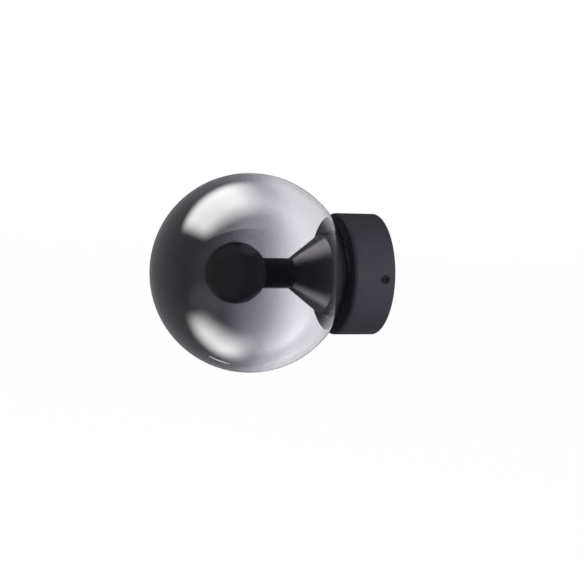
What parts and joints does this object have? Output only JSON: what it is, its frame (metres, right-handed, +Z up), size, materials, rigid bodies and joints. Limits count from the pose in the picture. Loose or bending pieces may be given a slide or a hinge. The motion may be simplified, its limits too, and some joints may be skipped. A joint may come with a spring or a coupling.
{
  "type": "globe wall sconce",
  "caption": "Wall sconce: round canopy on a screwed bracket, cone and sleeve lampholder, ball lamp, and a smoked glass globe that pulls straight off its spring grips.",
  "frame": {"origin": "centre of the bracket's rear face, on the wall and on the lamp's axis", "axes": "+Y into the wall, -Y out along the lamp's axis to the globe, +Z up, +X to the right seen from the room"},
  "size_m": [0.2, 0.2325, 0.2],
  "materials": {
    "smoked_glass": "clear by the wall, smoked mirror at the front",
    "lamp_glass": "dark smoked, glossy",
    "satin_black": "satin black powder coat",
    "gloss_black": "semi-gloss black lacquer",
    "screw_black": "black oxide",
    "zinc_steel": "zinc plated",
    "spring_steel": "bright rolled strip",
    "brass": "plain",
    "nickel_cap": "nickel plated",
    "white_plastic": "moulded",
    "black_plastic": "moulded thermoplastic",
    "insulator_black": "glassy",
    "black_rubber": "moulded",
    "clear_silicone": "dark silicone",
    "lead_brown": "silicone sheath",
    "lead_blue": "silicone sheath",
    "lead_earth": "green and yellow sheath"
  },
  "bodies": {
    "fixture": {"canopy": "satin_black", "hub_drum": "gloss_black", "cone_cover": "gloss_black", "sleeve_tube": "gloss_black", "canopy_side_screws": "screw_black", "wall_bracket": "zinc_steel", "carrier_plate": "zinc_steel", "canopy_studs": "zinc_steel", "carrier_screws": "zinc_steel", "tie_tube": "zinc_steel", "tie_nut": "zinc_steel", "lock_washer": "zinc_steel", "spacer_tube": "zinc_steel", "earth_screw": "zinc_steel", "earth_pillar": "zinc_steel", "block_screws": "zinc_steel", "clamp_screws": "zinc_steel", "spring_rivets": "zinc_steel", "grip_springs": "spring_steel", "terminal_clamps": "brass", "holder_terminals": "brass", "centre_contact": "brass", "side_contact": "brass", "thread_shell": "brass", "earth_tag": "brass", "terminal_block": "white_plastic", "tube_bushing": "white_plastic", "lampholder_body": "black_plastic", "cable_grommet": "black_rubber", "neck_gasket": "clear_silicone", "live_lead": "lead_brown", "neutral_lead": "lead_blue", "earth_lead": "lead_earth"},
    "globe": {"globe_glass": "smoked_glass"},
    "lamp": {"lamp_globe": "lamp_glass", "lamp_cap": "nickel_cap", "lamp_insulator": "insulator_black", "lamp_contact": "brass"}
  },
  "joints": [
    {"name": "globe_pull", "type": "slide", "parent": "fixture", "child": "globe", "axis": [0, -1, 0], "range_m": [0, 0.16]},
    {"name": "lamp_unscrew", "type": "slide", "parent": "fixture", "child": "lamp", "axis": [0, -1, 0], "range_m": [0, 0.045]}
  ]
}
